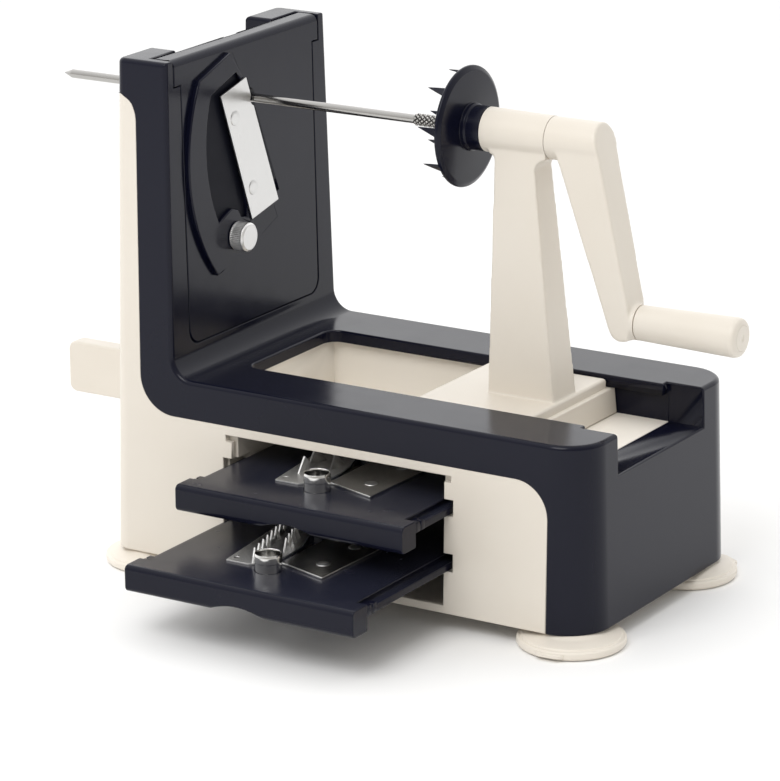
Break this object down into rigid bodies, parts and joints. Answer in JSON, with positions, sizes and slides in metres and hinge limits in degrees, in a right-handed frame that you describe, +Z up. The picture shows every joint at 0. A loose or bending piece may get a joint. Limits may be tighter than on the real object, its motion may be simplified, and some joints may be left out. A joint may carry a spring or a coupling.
{
  "type": "spiralizer",
  "caption": "Hand-cranked vegetable spiralizer: bench body with blade tower, sliding carriage with spiked disc and crank, pointed rod, stored blade plates and suction feet.",
  "frame": {"origin": "on the standing surface, under the middle of the bounding box at rest", "axes": "+X from the blade tower to the crank, +Y from the storage front to the back, +Z up"},
  "size_m": [0.4384, 0.2719, 0.29],
  "materials": {
    "light_plastic": "satin moulded plastic, ivory",
    "dark_plastic": "satin moulded plastic, blue-black",
    "steel": "bright stainless steel, brushed and polished",
    "foot_rubber": "soft translucent ivory elastomer"
  },
  "bodies": {
    "frame": {"lower_body": "light_plastic", "top_cover": "dark_plastic", "base_plate": "light_plastic", "slide_tray": "light_plastic", "left_rack": "light_plastic", "right_rack": "light_plastic", "side_grip": "light_plastic", "grip_screws": "steel", "base_screws": "steel", "rack_screws": "steel", "tray_screws": "steel", "cover_screws": "steel", "foot_front_left": "foot_rubber", "foot_back_left": "foot_rubber", "foot_front_right": "foot_rubber", "foot_back_right": "foot_rubber", "spiral_plate": "dark_plastic", "blade_carrier": "dark_plastic", "spiral_blade": "steel", "spiral_rivets": "steel", "thumb_stud": "steel"},
    "thumb_nut": {"thumb_nut": "steel"},
    "carriage": {"carriage_base": "light_plastic", "carriage_post": "light_plastic", "carriage_screws": "steel", "front_bush": "dark_plastic", "rear_bush": "dark_plastic"},
    "crank": {"crank_shaft": "steel", "drive_disc": "dark_plastic", "disc_pin": "steel", "crank_arm": "light_plastic", "grip_pin": "steel", "grip_washer": "steel"},
    "grip": {"crank_grip": "light_plastic", "grip_cap": "light_plastic"},
    "skewer": {"skewer_rod": "steel"},
    "upper_drawer": {"upper_plate": "dark_plastic", "upper_blade": "steel", "upper_comb": "steel", "upper_ring": "steel", "upper_rivets": "steel"},
    "lower_drawer": {"lower_plate": "dark_plastic", "lower_blade": "steel", "lower_comb": "steel", "lower_ring": "steel", "lower_rivets": "steel"}
  },
  "joints": [
    {"name": "carriage_slide", "type": "slide", "parent": "frame", "child": "carriage", "axis": [1, 0, 0], "range_m": [-0.105, 0.027]},
    {"name": "crank_spin", "type": "hinge", "parent": "carriage", "child": "crank", "pos_m": [0.08435, 0.04725, 0.256], "axis": [1, 0, 0], "continuous": true},
    {"name": "grip_spin", "type": "hinge", "parent": "crank", "child": "grip", "pos_m": [0.18535, 0.04725, 0.1608], "axis": [1, 0, 0], "continuous": true},
    {"name": "skewer_pull", "type": "slide", "parent": "crank", "child": "skewer", "axis": [1, 0, 0], "range_m": [-0.04, 0]},
    {"name": "upper_plate_slide", "type": "slide", "parent": "frame", "child": "upper_drawer", "axis": [0, 1, 0], "range_m": [-0.0876, 0.0336]},
    {"name": "lower_plate_slide", "type": "slide", "parent": "frame", "child": "lower_drawer", "axis": [0, 1, 0], "range_m": [-0.045, 0.082]},
    {"name": "thumb_nut_turn", "type": "hinge", "parent": "frame", "child": "thumb_nut", "pos_m": [-0.08165, 0.02615, 0.1813], "axis": [1, 0, 0], "range_deg": [0, 360]}
  ]
}
